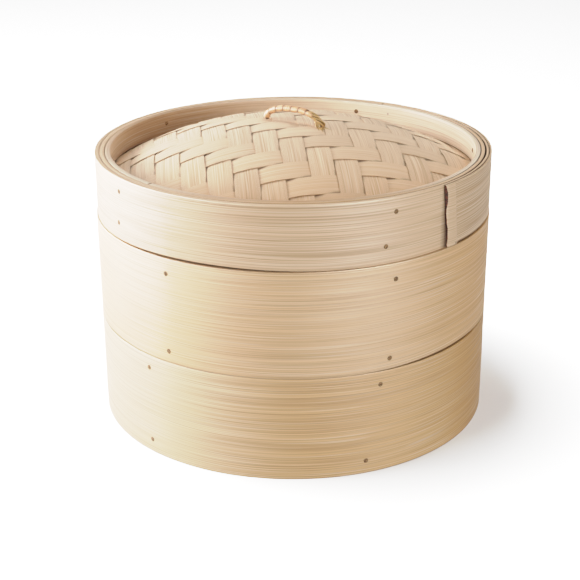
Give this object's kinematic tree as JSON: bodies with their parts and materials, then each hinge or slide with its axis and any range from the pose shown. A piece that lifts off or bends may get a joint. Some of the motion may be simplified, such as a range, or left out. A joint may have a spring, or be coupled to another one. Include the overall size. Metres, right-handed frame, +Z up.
{
  "type": "bamboo steamer",
  "caption": "Stacked bamboo steamer baskets with nesting bent hoop walls and slatted racks, under a lift-off domed lid of twill-woven strips with a wrapped loop handle.",
  "frame": {"origin": "centre of the base ring, on the surface that the steamer stands on", "axes": "+Z up along the axis of the hoops, +X along the lid's handle"},
  "size_m": [0.2026, 0.203, 0.1582],
  "materials": {
    "wall_bamboo": "planed bamboo, matt",
    "inner_bamboo": "split bamboo, matt",
    "warp_strip": "shaved bamboo strip, satin",
    "weft_strip": "shaved bamboo strip, satin",
    "rattan": "rattan core, satin",
    "handle_tape": "shaved cane tape, satin"
  },
  "bodies": {
    "lower_tier": {"lower_outer_hoop": "wall_bamboo", "lower_neck_hoop": "inner_bamboo", "lower_foot_hoop": "inner_bamboo", "lower_rack": "wall_bamboo"},
    "upper_tier": {"upper_outer_hoop": "wall_bamboo", "upper_neck_hoop": "inner_bamboo", "upper_foot_hoop": "inner_bamboo", "upper_rack": "wall_bamboo"},
    "lid": {"lid_outer_hoop": "wall_bamboo", "lid_core_hoop": "inner_bamboo", "lid_inner_hoop": "wall_bamboo", "lid_support_hoop": "inner_bamboo", "lid_lining": "inner_bamboo", "handle_core": "rattan", "handle_wrap": "handle_tape", "lid_warp_left_07": "warp_strip", "lid_warp_left_06": "warp_strip", "lid_warp_left_05": "warp_strip", "lid_warp_left_04": "warp_strip", "lid_warp_left_03": "warp_strip", "lid_warp_left_02": "warp_strip", "lid_warp_left_01": "warp_strip", "lid_warp_right_00": "warp_strip", "lid_warp_right_01": "warp_strip", "lid_warp_right_02": "warp_strip", "lid_warp_right_03": "warp_strip", "lid_warp_right_04": "warp_strip", "lid_warp_right_05": "warp_strip", "lid_warp_right_06": "warp_strip", "lid_warp_right_07": "warp_strip", "lid_warp_right_08": "warp_strip", "lid_weft_front_07": "weft_strip", "lid_weft_front_06": "weft_strip", "lid_weft_front_05": "weft_strip", "lid_weft_front_04": "weft_strip", "lid_weft_front_03": "weft_strip", "lid_weft_front_02": "weft_strip", "lid_weft_front_01": "weft_strip", "lid_weft_back_00": "weft_strip", "lid_weft_back_01": "weft_strip", "lid_weft_back_02": "weft_strip", "lid_weft_back_03": "weft_strip", "lid_weft_back_04": "weft_strip", "lid_weft_back_05": "weft_strip", "lid_weft_back_06": "weft_strip", "lid_weft_back_07": "weft_strip"}
  },
  "joints": [
    {"name": "upper_tier_lift", "type": "slide", "parent": "lower_tier", "child": "upper_tier", "axis": [0, 0, 1], "range_m": [0, 0.09]},
    {"name": "lid_lift", "type": "slide", "parent": "upper_tier", "child": "lid", "axis": [0, 0, 1], "range_m": [0, 0.09]}
  ]
}
